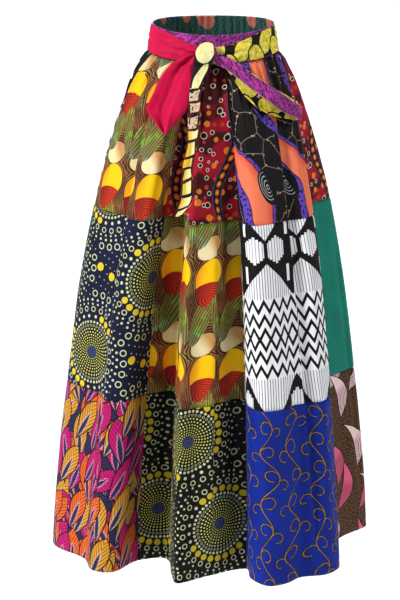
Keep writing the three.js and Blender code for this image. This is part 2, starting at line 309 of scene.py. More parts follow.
def oval_point(angle, drop, stand):
    width, depth = oval_at(drop)
    a = np.radians(angle)
    x, y = (width + stand) * np.sin(a), -(depth + stand) * np.cos(a)
    return np.stack([x, y, height_at(drop, y)], axis=-1)


def standing_point(x, drop, stand):
    width, _ = oval_at(drop)
    return oval_point(np.degrees(np.arcsin(np.clip(x / (width + stand), -1, 1))), drop, stand)


def noise_at(points, size, seed):
    """Smooth noise of about -1 to 1 at each point, with lumps of that size in mm along x, y and z."""
    flat = (np.asarray(points).reshape(-1, 3) / np.asarray(size, float)) + seed
    values = [noise.noise(Vector(p)) for p in flat]
    return np.array(values).reshape(np.asarray(points).shape[:-1])


def wrinkled(points, kind):
    """How far the small creases of that kind lift the cloth at each point."""
    size, seed, height = WRINKLES[kind]
    return noise_at(points, size, seed) * height


def normals_of(grid, closed=False):
    """Outward normals of rows that run down the cloth and columns that run towards +X at the front."""
    if closed:
        across = np.roll(grid, -1, axis=1) - np.roll(grid, 1, axis=1)
    else:
        across = np.gradient(grid, axis=1)
    out = np.cross(np.gradient(grid, axis=0), across)
    return out / np.maximum(np.linalg.norm(out, axis=2, keepdims=True), 1e-9)


def lengths_along(grid, axis):
    """How far each point of a grid is along its row or column, in mm of cloth."""
    steps = np.linalg.norm(np.diff(grid, axis=axis), axis=2)
    first = np.zeros_like(np.take(steps, [0], axis=axis))
    return np.concatenate([first, np.cumsum(steps, axis=axis)], axis=axis)


def smooth_edge(distance, width):
    """1 at an edge, falling smoothly to 0 at that width from it."""
    t = np.clip(1 - distance / width, 0, 1)
    return t * t * (3 - 2 * t)


# ---------------------------------------------------------------- meshes
def in_scene(name, data):
    thing = bpy.data.objects.new(name, data)
    bpy.context.scene.collection.objects.link(thing)
    return thing


def make_mesh(name, vertices, faces, uv=None, front_count=None):
    """An object of those points, in mm. The cloth's own coordinates, in metres, are its UV map."""
    mesh = bpy.data.meshes.new(name)
    mesh.from_pydata((np.asarray(vertices) / 1000).tolist(), [], faces)
    if uv is not None:
        layer = mesh.uv_layers.new(name="cloth")
        corners = np.empty(len(mesh.loops), dtype=np.int32)
        mesh.loops.foreach_get("vertex_index", corners)
        layer.data.foreach_set("uv", (np.asarray(uv)[corners] / 1000).astype(np.float32).ravel())
    mesh.polygons.foreach_set("use_smooth", [True] * len(mesh.polygons))
    if front_count is not None:
        sides = np.arange(len(mesh.polygons)) >= front_count
        mesh.polygons.foreach_set("material_index", sides.astype(np.int32))
    mesh.update()
    return in_scene(name, mesh)


def quads_between(a, b, c, d):
    return np.stack([a.ravel(), b.ravel(), c.ravel(), d.ravel()], axis=1).tolist()


def sew(name, node, grid, normals, walls, uv, inks, stitched=()):
    """A piece of cloth that reaches walls[0] out and walls[1] in from a grid.

    A second ink, if there is one, is on the inside and the edges. Stitches run along the stitched rows.
    """
    sides = [grid + normals * walls[0][..., None], grid - normals * walls[1][..., None]]
    index = np.arange(grid[..., 0].size).reshape(grid.shape[:2])
    back = index + index.size
    faces = quads_between(index[:-1, :-1], index[1:, :-1], index[1:, 1:], index[:-1, 1:])
    front_count = len(faces) if len(inks) > 1 else None
    faces += quads_between(back[:-1, :-1], back[:-1, 1:], back[1:, 1:], back[1:, :-1])
    for way in (np.s_[0], np.s_[-1, ::-1], np.s_[::-1, 0], np.s_[:, -1]):
        edge, behind = index[way], back[way]
        faces += quads_between(edge[:-1], edge[1:], behind[1:], behind[:-1])
    vertices = np.concatenate([side.reshape(-1, 3) for side in sides])
    piece = make_mesh(name, vertices, faces, np.concatenate([uv.reshape(-1, 2)] * 2), front_count)
    for ink in inks:
        piece.data.materials.append(INKS[ink])
    for row in stitched:
        path = grid[row] + normals[row] * (walls[0][row][:, None] + STITCH_PROUD[1])
        stitch_row(f"{name}_stitches_{row}", path, normals[row])
    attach(piece, "root")
    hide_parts(node)


def stitch_row(name, path, normals):
    """A row of stitches along a path of points: one small pointed lozenge for each stitch."""
    length, pitch, half = STITCH
    along = np.concatenate([[0], np.cumsum(np.linalg.norm(np.diff(path, axis=0), axis=1))])
    count = int(along[-1] // pitch)
    middles = (np.arange(count) + 0.5) * pitch

    def spot(at, table):
        return np.stack([np.interp(at, along, table[:, k]) for k in range(3)], axis=1)

    start, end = spot(middles - length / 2, path), spot(middles + length / 2, path)
    middle, up = spot(middles, path), spot(middles, normals)
    side = np.cross(end - start, up)
    side *= half / np.maximum(np.linalg.norm(side, axis=1, keepdims=True), 1e-9)
    up = up * half
    corners = np.stack([start, end, middle + side, middle - side, middle + up, middle - up], axis=1)
    faces = []
    for base in range(0, 6 * count, 6):
        for a, b in ((2, 4), (4, 3), (3, 5), (5, 2)):
            faces += [(base, base + a, base + b), (base + 1, base + b, base + a)]
    piece = make_mesh(name, corners.reshape(-1, 3), faces)
    piece.data.materials.append(INKS["thread"])
    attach(piece, "root")
    return piece


# ---------------------------------------------------------------- arithmetic in a material
def operator(operation, swapped=False):
    """What one of Python's operators does with an Ink."""

    def apply(self, other):
        return maths(operation, *((other, self) if swapped else (self, other)))

    return apply


class Ink:
    """A number or colour that varies over the cloth: arithmetic on it adds Math nodes to the material."""

    tree = None
    __add__, __radd__ = operator("ADD"), operator("ADD", True)
    __sub__, __rsub__ = operator("SUBTRACT"), operator("SUBTRACT", True)
    __mul__, __rmul__ = operator("MULTIPLY"), operator("MULTIPLY", True)
    __truediv__ = operator("DIVIDE")

    def __init__(self, socket):
        self.socket = socket

    def __neg__(self):
        return self * -1.0


def dyed(name):
    """The linear colour of a six-figure colour name."""
    values = [int(name[k : k + 2], 16) / 255 for k in (0, 2, 4)]
    return [v / 12.92 if v <= 0.04045 else ((v + 0.055) / 1.055) ** 2.4 for v in values] + [1]


def feed(node, inputs):
    """Sets the inputs of a node, or links them where the value is an Ink."""
    for place, value in inputs.items():
        if isinstance(value, Ink):
            Ink.tree.links.new(value.socket, node.inputs[place])
        else:
            node.inputs[place].default_value = dyed(value) if isinstance(value, str) else value


def new_node(kind, inputs, **settings):
    node = Ink.tree.nodes.new("ShaderNode" + kind)
    for setting, value in settings.items():
        setattr(node, setting, value)
    feed(node, inputs)
    return node


def maths(operation, *values, clamp=False):
    return Ink(new_node("Math", dict(enumerate(values)), operation=operation, use_clamp=clamp).outputs[0])


def mix(factor, under, over, blend="MIX"):
    """Colours are six-figure names or Inks."""
    inputs = {0: factor, 6: under, 7: over}
    return Ink(new_node("Mix", inputs, data_type="RGBA", blend_type=blend).outputs[2])


def paint(under, over, mask):
    """One colour laid over another where the mask is 1."""
    return mix(mask, under, over)


def coats(colour, *layers):
    """Colours laid one over the other, each with its mask."""
    for over, mask in layers:
        colour = paint(colour, over, mask)
    return colour


def sine(x):
    return maths("SINE", x)


def size_of(x):
    return maths("ABSOLUTE", x)


def above(x, limit):
    return maths("GREATER_THAN", x, limit)


def equals(x, value):
    return maths("COMPARE", x, value, 0.5)


def least(first, *others):
    for other in others:
        first = maths("MINIMUM", first, other)
    return first


def most(first, *others):
    for other in others:
        first = maths("MAXIMUM", first, other)
    return first


def reach(x, y):
    """Distance of the point x, y from 0, 0."""
    return maths("SQRT", maths("MULTIPLY_ADD", x, x, y * y))


def near(x, period):
    """Signed distance from the nearest whole multiple of the period."""
    return maths("WRAP", x, period / 2, -period / 2)


def whole(x, period):
    """Number of that nearest multiple."""
    return maths("ROUND", x / period)


def within(distance, soft=0.7):
    """1 where a distance is below zero, 0 where it is above, over a soft edge of that width in mm."""
    return maths("MULTIPLY_ADD", distance, -1 / soft, 0.5, clamp=True)


def between(x, low, high, soft=0.7):
    return within(size_of(x - (low + high) / 2) - (high - low) / 2, soft)


def stripes(x, pitch, half, soft=0.7):
    """1 on lines of that half width, one at each whole multiple of the pitch."""
    return within(size_of(near(x, pitch)) - half, soft)


def pick(test, yes, no):
    """yes where test is 1 and no where it is 0."""
    return maths("MULTIPLY_ADD", test, yes - no, no)


def turned(x, y, degrees):
    c, s = math.cos(math.radians(degrees)), math.sin(math.radians(degrees))
    return x * c + y * s, y * c - x * s


def texture(kind, x, y, z, inputs, **settings):
    """A texture node that reads the point x, y, z."""
    point = new_node("CombineXYZ", {0: x, 1: y, 2: z})
    return new_node("Tex" + kind, {"Vector": Ink(point.outputs[0]), **inputs}, **settings)


def mottle(x, y, size, seed=0.0, detail=2.0):
    """Smooth noise from 0 to 1 with lumps of that size in mm."""
    return Ink(texture("Noise", x / size, y / size, seed, {"Scale": 1.0, "Detail": detail}).outputs[0])


def chance(x, y, seed=0.0):
    """A fixed random number from 0 to 1 for each pair of whole numbers."""
    return Ink(texture("WhiteNoise", x, y, seed, {}).outputs[0])


def cells(x, y, size, seed=0.0, feature="DISTANCE_TO_EDGE"):
    """Distance in mm from the edges, or for F1 the middles, of a net of uneven cells of that size."""
    settings = {"feature": feature, "voronoi_dimensions": "2D"}
    node = texture("Voronoi", x / size + seed * 7.3, y / size, 0.0, {"Scale": 1.0}, **settings)
    return Ink(node.outputs["Distance"]) * size


# ---------------------------------------------------------------- the prints
def bursts(ground, core, disc, glow, width, height, lean):
    """Rings of dots that grow outwards round the centres of a leaning brick pattern."""
    first, base, growth, last = 14.0, 44.6, 0.0717, 63.0
    plain, bright, hollow = 0.0, 1.0, 2.0
    full_rings = 120.0  # further out than this, bright rings are whole
    outer_rings = [
        # begins at, radius, dots in it, radius of a dot, kind
        (last, 70.5, 26, 6.6, bright),
        (78.2, 84.5, 27, 5.6, hollow),
        (91.0, 94.5, 45, 2.2, plain),
        (99.0, 103.0, 47, 2.6, plain),
        (108.0, 116.0, 35, 6.8, hollow),
        (124.0, 133.0, 34, 8.4, bright),
        (142.5, 148.5, 46, 4.6, hollow),
    ]

    def draw(u, v):
        x0, y0 = near(u, width), near(v, height)
        x1, y1 = near(u - width * lean, width), near(v - height / 2, height)
        r0, r1 = reach(x0, y0), reach(x1, y1)
        closer = above(r0, r1)
        x, y, r = pick(closer, x1, x0), pick(closer, y1, y0), least(r0, r1)
        ring = maths("LOGARITHM", (r + base) / (first + base), math.e) / growth
        ring = most(maths("ROUND", ring), 0.0)
        middle = maths("POWER", math.exp(growth), ring) * (first + base) - base
        step = (middle + base) * growth
        count = maths("ROUND", middle / step * (2 * math.pi / 1.1))
        radius = step * pick(above(ring, 6.5), 0.36, 0.285)
        kind = equals(ring, 7.0) * hollow
        for begins, place, dots, size, sort in outer_rings:
            beyond = above(r, begins)
            middle, count = pick(beyond, place, middle), pick(beyond, dots, count)
            radius, kind = pick(beyond, size, radius), pick(beyond, sort, kind)
        turn = maths("ARCTAN2", y, x) / (2 * math.pi)
        offset = near(turn * count + middle * 0.19, 1.0) / count
        apart = reach(r - middle, offset * middle * (2 * math.pi))
        angle = (turn - offset) * (2 * math.pi)
        in_arc = sine(angle * 2 + middle * 0.3 + closer * 2) + above(middle, full_rings)
        arc = above(in_arc, -0.4) * equals(kind, bright)
        radius = radius * pick(equals(kind, bright) - arc, 0.5, 1.0)
        dot_x, dot_y = middle * maths("COSINE", angle), middle * sine(angle)
        sideways = pick(closer, -width * lean, width * lean)
        other = reach(near(dot_x - sideways, width), near(dot_y - height / 2, height))
        clear = least((other - middle) * 0.5, width / 2 - size_of(dot_x), height / 2 - size_of(dot_y))
        whole_dot = above(clear - radius, 0.8)
        colour = paint(core, ground, mottle(u, v, 80, 3.0))
        colour = paint(colour, core, within(r - 58, 12.0))
        filler = reach(near(u + v * 0.5, 15), near(v - u * 0.3, 15)) - 1.6
        colour = paint(colour, "B9BDC6", within(filler) * (1 - whole_dot) * within(60 - r))
        tint = paint("D8D874", "CFD2A6", within(46 - r, 16.0))
        tint = paint(tint, glow, arc)
        hole = within(apart - radius * 0.66) * equals(kind, hollow)
        dots = within(apart - radius) * whole_dot * within(11.6 - r, 0.3)
        colour = paint(colour, tint, dots * (1 - hole))
        beads = stripes(r, 3.6, 0.5) * stripes(turn * 26 + r * 0.2, 1.0, 0.28, 0.1)
        colour = paint(colour, disc, within(r - 10.8))
        return paint(colour, "8FA0D0", beads * within(r - 11.4) * 0.8)

    return draw


def petal(u, v):
    """Yellow petals with red feet, green wings and cream cups, on a ground of fine contour lines."""
    width, height = 66, 183
    dark = "241410"

    def spot(across, down, lean=0.0):
        x, y = near(u - across, width), near(v - down, height)
        return x + y * lean, y

    x, y = spot(0, 6, 0.16)
    below = within(-y, 0.1)
    egg = reach(x * (1 + below * y * 0.007) / 27, y / pick(below, 55.0, 36.0)) - 1
    arch = reach((x - 8) / 1.2, y - 41)
    cup_x, cup_y = spot(-3, 133)
    cup_x, cup_y = turned(cup_x, cup_y, -38)
    cup = reach(cup_x / 27, cup_y / 19) - 1
    wave = mottle(u, v, 48, 1.0)
    ground = paint("9C8446", "B0683E", within(0.5 - wave, 0.16))
    ground = paint(ground, "74402C", within(0.5 - mottle(u, v, 62, 4.0), 0.1) * 0.8)
    field = least(egg * 29, cup * 21 + 3) + wave * 9
    colour = paint(ground, dark, stripes(field, 4.8, 1.05, 0.8))
    cream = paint("EDDCAC", "C99A5C", within(4 - cup_x, 18.0))
    colour = paint(colour, cream, within(cup * 18.5))
    for across, down, turn, half, length in ((19, 84, -9, 10, 46), (-13, 88, 17, 16, 48)):
        wing_x, wing_y = turned(*spot(across, down), turn)
        wing = reach(wing_x / half, wing_y / length) - 1
        ribs = stripes(wing_x + wing_y * 0.12 + wave * 4, 5.0, 0.75, 0.8)
        green = coats(
            "B0A646",
            ("8CC440", within(-12 - wing_y, 34.0)),
            ("8CC49A", within(24 - wing_y, 18.0)),
            ("8A6A42", within(0.42 - mottle(u, v, 26, 7.0), 0.14) * 0.8),
            ("33421E", ribs),
        )
        colour = paint(colour, green, within(wing * half))
    red = paint("D8401C", "A01C14", within(x + 4, 26.0))
    red = paint(red, dark, stripes(arch + wave * 3, 4.4, 0.7, 0.8) * 0.9)
    yellow = paint("FBCB04", "F0A014", within(x + 16, 20.0))
    inside = paint(yellow, red, within(arch - 33))
    return paint(colour, inside, within(egg * 29))


def leaf(u, v):
    """Overlapping leaves with fine veins, dark outlines and a narrow dotted heart."""
    colour = "262B52"
    layers = [
        # turn of the leaves, shift across, shift down, seed, chance that a leaf is there
        (-36, 11, 7, 1.0, 1.0),
        (44, 21, 31, 2.0, 1.0),
        (-16, 43, 60, 3.0, 1.0),
        (28, 30, 12, 4.0, 0.85),
        (-10, 17, 84, 5.0, 0.7),
        (22, 3, 40, 6.0, 0.7),
    ]
    half, length = 21.5, 104
    pitch_across, pitch_down = 60, 110
    for turn, across, down, seed, share in layers:
        x, y = turned(u + across, v + down, turn)
        column = whole(x, pitch_across)
        y = y + column * (pitch_down * 0.37)
        row = whole(y, pitch_down)
        x, y = near(x, pitch_across), near(y, pitch_down)
        luck, other = chance(column, row, seed), chance(row, column, seed + 20)
        spin = (other - 0.5) * 0.5
        x, y = x - y * spin, y + x * spin
        rise = y / (length / 2)
        girth = (1 - rise * rise) * (1 - rise * 0.5) * (half / 1.06)
        edge = size_of(x) - girth
        fill = coats("C5157A", ("E4701A", above(luck, 0.44)), ("D6A32C", above(luck, 0.74)))
        veins = stripes(y + size_of(x) * 1.9, 12.4, 2.3, 2.4)
        heart = size_of(x) - (1 - (y - 15) * (y - 15) / 1000) * 4.2
        from_speck = reach(near(x + y * 0.5, 3.5), near(y, 3.2))
        specks = within(from_speck - 1.15, 0.6)
        rim = within(heart - 3.6) * within(size_of(y - 15) - 34)
        fill = coats(
            fill,
            ("7A1236", veins * 0.7),
            ("5A2060", rim * specks),
            ("F3D9EA", rim * within(from_speck - 0.95, 0.6)),
            ("1C2148", within(heart)),
            ("4A568E", within(heart) * specks * 0.5),
        )
        shape = within(edge)
        if share < 1:
            shape = shape * (1 - above(other, share))
        colour = paint(colour, paint("2C0A20", fill, within(edge + 2.5)), shape)
    return colour


def crimson(u, v):
    """Orange discs and pale-edged dark rings scattered on crimson, with bands of beads."""
    fields = within(0.5 - mottle(u, v, 84, 2.0, 1.0), 0.03)
    colour = paint("4C0A16", "A80C2C", fields)
    layers = [
        # cell, seed, low chance, colour of the small discs
        (17, 1.0, 0.35, "C8402A"),
        (25, 2.0, 0.2, "EE8A1E"),
    ]
    for cell, seed, low, small in layers:
        column, row = whole(u + seed * 7, cell), whole(v + seed * 5, cell)
        luck, jitter = chance(column, row, seed), chance(row, column, seed + 9)
        x = near(u + seed * 7, cell) + (luck - 0.5) * (cell * 0.3)
        y = near(v + seed * 5, cell) + (jitter - 0.5) * (cell * 0.3)
        distance = reach(x, y)
        radius = jitter * (cell * 0.12) + cell * 0.16
        shown = above(luck, low)
        ringed = above(luck, 0.68)
        disc = within(distance - radius) * shown
        colour = coats(
            colour,
            (small, disc),
            ("EBD9C6", disc * ringed),
            ("1C0A12", within(distance - radius + 1.5) * ringed),
        )
    sway = sine(v / 31) * 13
    x = near(u + sway - 64, 128)
    colour = paint(colour, "140C18", within(size_of(x) - 11))
    colour = paint(colour, "5C6AA0", within(size_of(size_of(x) - 9.4) - 0.5))
    beads = reach(x / 5.0, near(v, 16) / 6.2) - 1
    colour = paint(colour, "D96A1A", within(beads * 5))
    return paint(colour, "F2B24A", within(beads * 5 + 2.8))


def web(u, v):
    """A pale net with knots on black, crossed by flowing coral bands with spotted purple borders."""
    black = "120C0C"
    net = cells(u, v, 44, 5.0)
    strand = within(net - 0.5, 0.6)
    knots = within(cells(u, v, 15, 3.0, "F1") - 2.0) * within(net - 3.0, 0.2)
    colour = paint(black, "B7A292", most(strand * 0.85, knots))
    wobble = (mottle(u, v, 70, 5.0) - 0.5) * 18
    flow = near(u * 0.86 - v * 0.36 + sine(v / 52) * 24 + wobble, 150)
    coral = paint("F08460", "DB4A26", within(14 - flow, 18.0))
    spots = within(cells(u, v, 8.5, 2.0, "F1") - 2.3)
    purple = paint("6A4AB4", "241650", spots)
    colour = coats(
        colour,
        ("140A1A", within(size_of(flow + 6) - 34)),
        (purple, within(size_of(flow + 6) - 31.5)),
        ("3A1550", within(size_of(flow) - 20.5)),
        (coral, within(size_of(flow) - 18.8)),
    )
    pod_x, pod_y = turned(near(u + 22, 104), near(v - 74, 168), -20)
    pod = reach(pod_x / 17, pod_y / 36) - 1
    rings = stripes(pod * 17 + pod_y * 0.05, 3.7, 0.45)
    colour = paint(colour, "0E0A0E", within(pod * 17))
    return paint(colour, "C9C6C4", within(pod * 17 + 2.2) * rings * within(pod_x - 3, 3.0))


def zigzag(u, v):
    """Bands of zigzags and diamonds in black on white, between striped tents on black."""
    white, grey, black = "F0F1F4", "74747C", "0D0B0F"
    width, height, zig = 120, 364, 120 / 5.5
    y = maths("WRAP", v, height, 0.0)
    side = size_of(near(u, width))
    lined = paint(white, grey, stripes(u, 5.5, 0.75, 0.9))
    bars = paint(white, grey, stripes(u, 6.6, 0.6))
    hanging = within(side - (30 - y) * 0.84) * within(y - 31)
    tents = within(side + size_of(y - 104) * 0.1 - (y - 70) * 0.9 - 1) * within(70 - y)
    colour = paint(black, lined, most(hanging, tents))
    gem_x = side - 23.5
    gem = size_of(whole(gem_x, 6.6)) * 4.1 + size_of(y - 48)
    colour = paint(colour, bars, within(gem - 26) * within(size_of(gem_x) - 19.6))
    posts = most(between(y, 80, 112), within(y - 24))
    colour = paint(colour, white, between(size_of(near(u - 3.8, width)), 44, 50.5) * posts)
    peak = (size_of(near(u, zig)) - zig / 4) * 1.84
    rows = []
    for middle, flip in ((153, 1), (180, 1), (205.5, 1), (224, -1), (248.5, -1), (276, -1)):
        rows.append(within(size_of(y - middle + peak * flip) - 5.4, 1.4))
    band = paint(white, black, most(*rows))
    colour = paint(colour, band, between(y, 139, 291))
    lens = within(side - (width / 2 - (y - 290) * 0.66))
    lower = paint(black, lined, lens)
    low_gem = size_of(whole(side - width / 2, 6.6)) * 5.5 + size_of(y - 344)
    lower = paint(lower, bars, within(low_gem - 26) * within(width / 2 - 16.5 - side))
    return paint(colour, lower, within(291 - y))


def scroll(u, v):
    """Winding stems with open curls on both sides, in golden beads on cobalt."""
    width, height, sway = 58, 104, 15
    curls = [
        # centre across, centre down, radius, start in degrees, way round
        (0, 27, 15, 0, -1),
        (0, 79, 15, 180, 1),
        (24, 41, 13, 180, 1),
        (-24, 93, 13, 0, -1),
    ]
    u = u + (mottle(u, v, 90, 6.0, 0.0) - 0.5) * 36
    v = v + (mottle(u, v, 90, 9.0, 0.0) - 0.5) * 36
    distance = size_of(near(u - sine(v * (2 * math.pi / height)) * sway, width)) * 0.8
    for middle_x, middle_y, radius, start, way in curls:
        x, y = near(u - middle_x, width), near(v - middle_y, height)
        turn = (maths("ARCTAN2", y, x) - math.radians(start)) * way
        turn = maths("WRAP", turn, 2 * math.pi, 0.0) / (2 * math.pi)
        curl = radius - turn * (radius * 0.55)
        line = size_of(reach(x, y) - curl) + above(turn, 0.8) * 40
        distance = least(distance, line)
    blue = paint("0433A8", "041B76", mottle(u, v, 70, 4.0))
    colour = paint(blue, "140A2C", within(distance - 2.3))
    beads = stripes(u * 1.1 + v, 4.4, 1.4, 0.8)
    return paint(colour, paint("3A2014", "AC8C5A", beads), within(distance - 1.0))


def teal(u, v):
    """Fine slanted stripes on teal."""
    _, y = turned(u, v, 42)
    colour = paint("10B49A", "0C8E7C", mottle(u, v, 70, 6.0))
    return paint(colour, "021A20", stripes(y, 4.2, 0.85, 0.9))


def feather(u, v):
    """Swooping pink and white plumes on a speckled brown ground."""
    speckle = mottle(u, v, 2.3, 2.0, 0.0)
    colour = paint("1C0C0A", "86603A", within(0.545 - speckle, 0.1))
    for turn, across, down, seed in ((14, 10, 20, 1.0), (-20, 46, 78, 2.0)):
        x, y = turned(u + across, v + down, turn)
        column, row = whole(x, 70), whole(y, 124)
        luck = chance(column, row, seed)
        x, y = near(x, 70), near(y, 124)
        bend = x + y * y * 0.009 - 10
        edge = size_of(bend) - (1 - (y / 52) * (y / 52)) * (y * 0.12 + 15)
        plume = paint("E2688A", "F0D0D2", above(luck, 0.55))
        barbs = stripes(bend + y * 0.06, 4.6, 0.8, 0.9)
        plume = paint(plume, "3A1118", barbs * within(-y - 4, 14.0))
        shown = above(luck, 0.22)
        colour = paint(colour, "160809", within(edge - 2.2) * shown)
        colour = paint(colour, plume, within(edge) * shown)
    return colour


def forest(u, v):
    """Fine pale dashes on dark green, with rust-coloured blooms."""
    x, y = turned(u, v, -38)
    row = whole(y, 2.6)
    dash = stripes(y, 2.6, 0.45, 0.6) * stripes(x + row * 3.1, 8, 2.8, 0.6)
    colour = paint("07302C", "6AA89C", dash)
    streaks = paint("A4503F", "E09484", mottle(u, v * 0.2, 5, 2.0))
    for across, half, deep in ((189, 19, 27), (229, 10, 14), (287, 9, 13), (30, 16, 30), (88, 12, 22)):
        bloom = reach((u - across) / half, v / deep) - 1 + (mottle(u, v, 12, 4.0) - 0.5) * 0.5
        colour = paint(colour, streaks, within(bloom * half))
    return colour


def orchid(u, v):
    """Magenta mottled with violet and fine pale veins."""
    x, y = turned(u, v, -40)
    return coats(
        "701468",
        ("B4369C", within(0.5 - mottle(x * 0.4, y, 7, 1.0), 0.16)),
        ("3C0A40", within(mottle(x * 0.4, y, 5, 4.0) - 0.43, 0.08)),
        ("D98ACB", within(cells(u, v, 7, 3.0) - 0.28, 0.5) * 0.55),
    )


def shell(u, v):
    """Big yellow petals outlined in black, with patches of pale crackle on a dark ground."""
    ground = "12101A"
    crackle = paint("7A3A20", "EBDCC8", within(0.5 - mottle(u, v, 3.2, 1.0), 0.1))
    colour = paint(ground, crackle, within(0.56 - mottle(u, v, 30, 6.0, 0.0), 0.03))
    yellow = paint("E2D024", "F1E67E", within(0.5 - mottle(u, v, 7, 3.0), 0.12))
    yellow = paint(yellow, "BFA818", within(mottle(u, v, 9, 8.0) - 0.4, 0.08))
    for across, down, turn, half, length in ((10, 16, 20, 18, 27), (38, 40, -24, 15, 24)):
        x, y = turned(near(u - across, 56), near(v - down, 62), turn)
        edge = (reach(x / half, y / length) - 1) * half
        colour = paint(colour, "0B0A10", within(edge - 2.2))
        colour = paint(colour, yellow, within(edge))
    return colour


def chain(u, v):
    """A narrow ribbon: big cream petals at the knot, then brown and pale links between dark bars."""
    link = 25
    lean = u * 0.18 + (mottle(u, v, 60, 2.0) - 0.5) * 26
    row = whole(v - 60 + lean, link)
    luck, other = chance(row, row, 3.0), chance(row, row, 6.0)
    y = near(v - 60 + lean, link)
    middle = (luck - 0.5) * 7
    girth = 8.0 + (other - 0.5) * 3 - y * (other - 0.5) * 0.3
    edge = most(size_of(y) - link * 0.38, size_of(u - middle) - girth)
    speckled = paint("54241A", "D8BFA2", within(0.42 - mottle(u, v, 4.4, 2.0), 0.06))
    cream = paint("EDE6A6", "D9B838", within(u + (luck - 0.5) * 14, 5.0))
    fill = paint(speckled, cream, above(v + luck * 60, 205.0))
    colour = paint("100C12", "5A1614", within(0.5 - mottle(u, v, 12, 5.0), 0.05))
    colour = paint(colour, fill, within(edge))
    oval = (reach(u / 17.5, (v - 24) / 22) - 1) * 17.5
    pale = paint("E9E4AE", "E0D480", within(mottle(u, v, 11, 8.0) - 0.42, 0.1))
    head = paint("14121C", pale, within(oval))
    blade = (reach((u - 2 + (v - 74) * 0.18) / 8.5, (v - 74) / 30) - 1) * 8.5
    head = paint(head, pale, within(blade) * within(oval * -1 + 2))
    return paint(colour, head, within(v - 96))


def pink_with_painted_shade(u, v):
    # Pink cloth. The deeper pink blotched in at random is painted shade: the tone of the pink in its folds.
    return paint("E2005A", "B40038", mottle(u, v, 30, 1.0))


PRINTS = {
    "petal": petal,
    "burst_navy": bursts("111A4A", "0B0D10", "141C44", "DDC62A", 300, 326, 0.555),
    "leaf": leaf,
    "crimson": crimson,
    "burst_black": bursts("080808", "080808", "141C4C", "C9B428", 234, 352, 0.35),
    "web": web,
    "zigzag": zigzag,
    "scroll": scroll,
    "teal": teal,
    "feather": feather,
    "forest": forest,
    "orchid": orchid,
    "shell": shell,
    "chain": chain,
    "pink": pink_with_painted_shade,
}


# ---------------------------------------------------------------- cloth materials
THREAD = 0.55  # pitch of the weave
WEAVE_DEPTH = 0.00006
BUMP_DEPTH = 0.0012  # the weave and the crinkle together
DYE_STRENGTH = 0.78  # keeps the brightest cloth just under the white of the studio
COTTON = {"Specular IOR Level": 0.22, "Sheen Weight": 0.04, "Sheen Roughness": 0.45}


def new_material(name):
    """A material and its shader. The nodes made after it go into it."""
    material = bpy.data.materials.new(name)
    material.use_nodes = True
    Ink.tree = material.node_tree
    return material, Ink.tree.nodes["Principled BSDF"]


def cloth_material(name, print_on):
    """Woven cotton with a print, faint thread shading, a soft sheen and the bump of weave and crinkle."""
    material, shader = new_material(name)
    place = Ink(new_node("UVMap", {}, uv_map="cloth").outputs[0])
    across, down, _ = new_node("SeparateXYZ", {0: place}).outputs
    u, v = Ink(across) * 1000, Ink(down) * 1000
    colour = print_on(u, v)
    warp, weft = size_of(near(u, THREAD)), size_of(near(v, THREAD))
    over = near(whole(u, THREAD) + whole(v, THREAD), 2.0)
    weave = 1 - most(warp, weft) * (2 / THREAD * 0.6) - size_of(over) * 0.25
    fade = mottle(u, v, 26, 7.0, 4.0)
    shade = maths("MULTIPLY_ADD", weave, 0.10, fade * 0.16 + 0.85) * DYE_STRENGTH
    crinkle = mottle(u, v, 14, 5.0, 3.0)
    height = maths("MULTIPLY_ADD", weave, WEAVE_DEPTH / BUMP_DEPTH, crinkle * 0.5)
    bump = new_node("Bump", {"Strength": 0.6, "Distance": BUMP_DEPTH, "Height": height})
    finish = {
        "Base Color": mix(1.0, colour, shade, "MULTIPLY"),
        "Roughness": maths("MULTIPLY_ADD", fade, 0.16, 0.62),
        "Normal": Ink(bump.outputs[0]),
    }
    feed(shader, {**finish, **COTTON})
    return material


def thread_material():
    """Sewing thread, dark with a fine grain."""
    material, shader = new_material("thread_dark")
    place = new_node("TexCoord", {})
    grain = new_node("TexNoise", {"Scale": 900, "Vector": Ink(place.outputs["Object"])})
    feed(shader, {"Base Color": paint("3A2A3A", "524252", Ink(grain.outputs[0])), "Roughness": 0.55})
    return material


INKS = {name: cloth_material(name, print_on) for name, print_on in PRINTS.items()}
INKS["thread"] = thread_material()


# ---------------------------------------------------------------- the skirt's surface
def outline(control, places):
    """Points of the closed smooth curve through the control points, at places counted in controls."""
    count = len(control)
    i = np.floor(places).astype(int) % count
    w = (places - np.floor(places))[:, None]
    p0, p1, p2, p3 = (control[(i + k) % count] for k in (-1, 0, 1, 2))
    pairs = ((p0, p1), (p1, p2), (p2, p3))
    d0, d1, d2 = (np.sqrt(np.linalg.norm(b - a, axis=1))[:, None] for a, b in pairs)
    first = ((p1 - p0) / d0 - (p2 - p0) / (d0 + d1) + (p2 - p1) / d1) * d1
    second = ((p2 - p1) / d1 - (p3 - p1) / (d1 + d2) + (p3 - p2) / d2) * d1
    squared = 3 * (p2 - p1) - 2 * first - second
    cubed = 2 * (p1 - p2) + first + second
    return p1 + first * w + squared * w**2 + cubed * w**3


fold_waist = np.radians([row[0] for row in FOLDS])
fold_hem = np.radians([row[1] for row in FOLDS])
fold_reach = np.array([row[2] for row in FOLDS], float)
WAIST_CONTROL = np.stack([WAIST_HALF[0] * np.sin(fold_waist), -WAIST_HALF[1] * np.cos(fold_waist)], axis=1)
HEM_CONTROL = np.stack([fold_reach * np.sin(fold_hem), -fold_reach * np.cos(fold_hem)], axis=1)


def column_places():
    """Places round the skirt, whole at each row of FOLDS, and about COLUMN_STEP apart at the hem."""
    places = []
    for row in range(len(FOLDS)):
        fine = outline(HEM_CONTROL, row + np.linspace(0, 1, 21) * 0.9999)
        length = np.linalg.norm(np.diff(fine, axis=0), axis=1).sum()
        steps = max(6, int(round(length / COLUMN_STEP)))
        places += [row + k / steps for k in range(steps)]
    return np.array(places)


